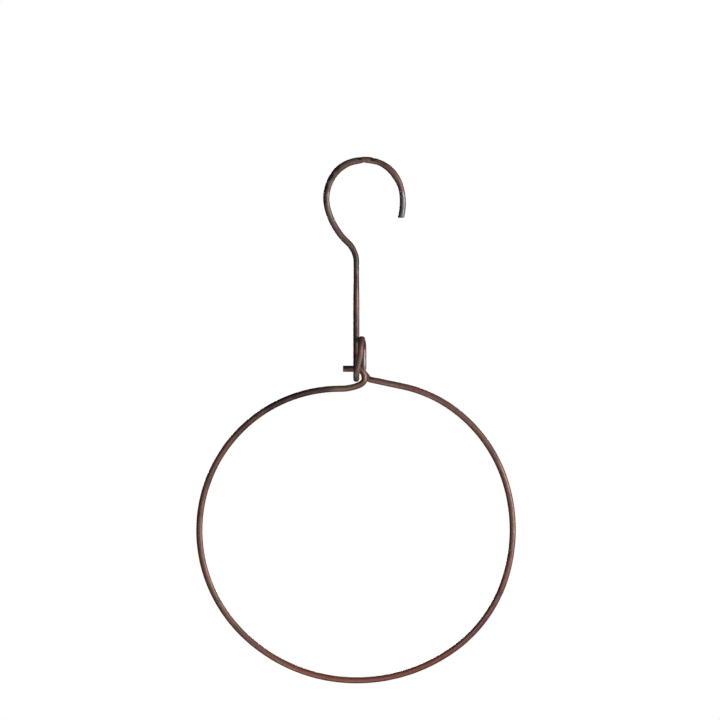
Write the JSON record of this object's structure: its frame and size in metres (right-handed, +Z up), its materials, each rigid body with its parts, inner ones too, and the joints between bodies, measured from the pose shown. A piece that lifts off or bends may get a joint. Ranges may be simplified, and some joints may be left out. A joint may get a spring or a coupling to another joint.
{
  "type": "wire hanging hook with hoop",
  "caption": "Aged steel wire hook with a tall narrow eye at its foot, and a large round wire hoop that hangs and swings in the eye.",
  "frame": {"origin": "hang point: the underside of the crown of the hook, where it rests on its rail", "axes": "+Z up along the hanging direction, +X to the hook's tip side, +Y away from the viewer, square to the plane of the hook and the hoop"},
  "size_m": [0.2014, 0.0195, 0.3318],
  "materials": {
    "hook_wire": "satin",
    "ring_wire": "satin"
  },
  "bodies": {
    "hook": {"hook": "hook_wire"},
    "ring": {"ring": "ring_wire"}
  },
  "joints": [
    {"name": "ring_swing", "type": "hinge", "parent": "hook", "child": "ring", "pos_m": [-0.00504, -0.00635, -0.1296], "axis": [1, 0, 0], "range_deg": [-80, 70]}
  ]
}
